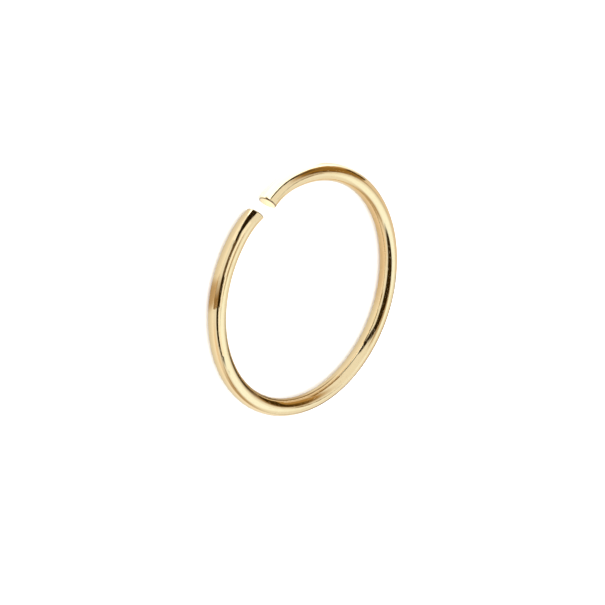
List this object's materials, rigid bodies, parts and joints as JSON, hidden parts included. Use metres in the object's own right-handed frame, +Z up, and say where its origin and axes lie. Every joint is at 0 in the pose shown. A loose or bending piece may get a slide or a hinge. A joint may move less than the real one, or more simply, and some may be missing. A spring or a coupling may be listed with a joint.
{
  "type": "piercing ring",
  "caption": "Plain open hoop of round wire with a small gap between two cut ends, bent open and closed by hand to pass through a piercing.",
  "frame": {"origin": "centre of the hoop, on the surface that the hoop lies on", "axes": "+Z up, along the hoop's own axis; the gap between the cut ends is centred on +Y; the end on the -X side is the left one"},
  "size_m": [0.0116, 0.0115, 0.0008],
  "materials": {
    "gold_finish": "mirror-polished pale yellow gold colour over steel wire"
  },
  "bodies": {
    "root": {"hoop": "gold_finish"}
  },
  "joints": []
}
